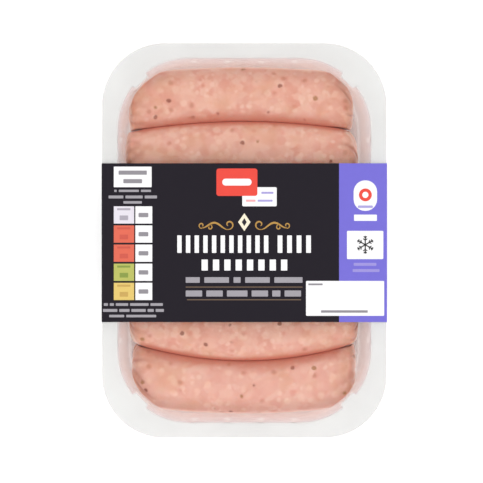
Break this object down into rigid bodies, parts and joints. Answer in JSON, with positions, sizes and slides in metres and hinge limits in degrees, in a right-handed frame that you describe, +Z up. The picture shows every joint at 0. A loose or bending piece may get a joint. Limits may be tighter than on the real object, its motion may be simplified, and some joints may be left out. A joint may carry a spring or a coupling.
{
  "type": "pack of pork sausages",
  "caption": "Sealed clear tray of raw pork sausages lying side by side under clear film, with a plain printed board sleeve round the middle.",
  "frame": {"origin": "under the middle of the pack, on the surface it lies on", "axes": "+X across the pack, along the sausages, towards the right of the sleeve's print; +Y along the pack, towards the top of the print; +Z up, out of the lidding film"},
  "size_m": [0.138, 0.19, 0.0375],
  "materials": {
    "clear_tray": "clear formed sheet, glossy",
    "clear_film": "clear taut film, glossy",
    "raw_pork": "moist skin over pink minced meat with pale fat and dark herb flecks",
    "printed_board": "near-black print, satin, with a purple panel at its right end"
  },
  "bodies": {
    "root": {"tray": "clear_tray", "film": "clear_film", "sausage_1": "raw_pork", "sausage_2": "raw_pork", "sausage_3": "raw_pork", "sausage_4": "raw_pork", "sausage_5": "raw_pork", "sausage_6": "raw_pork", "sleeve": "printed_board"}
  },
  "joints": []
}
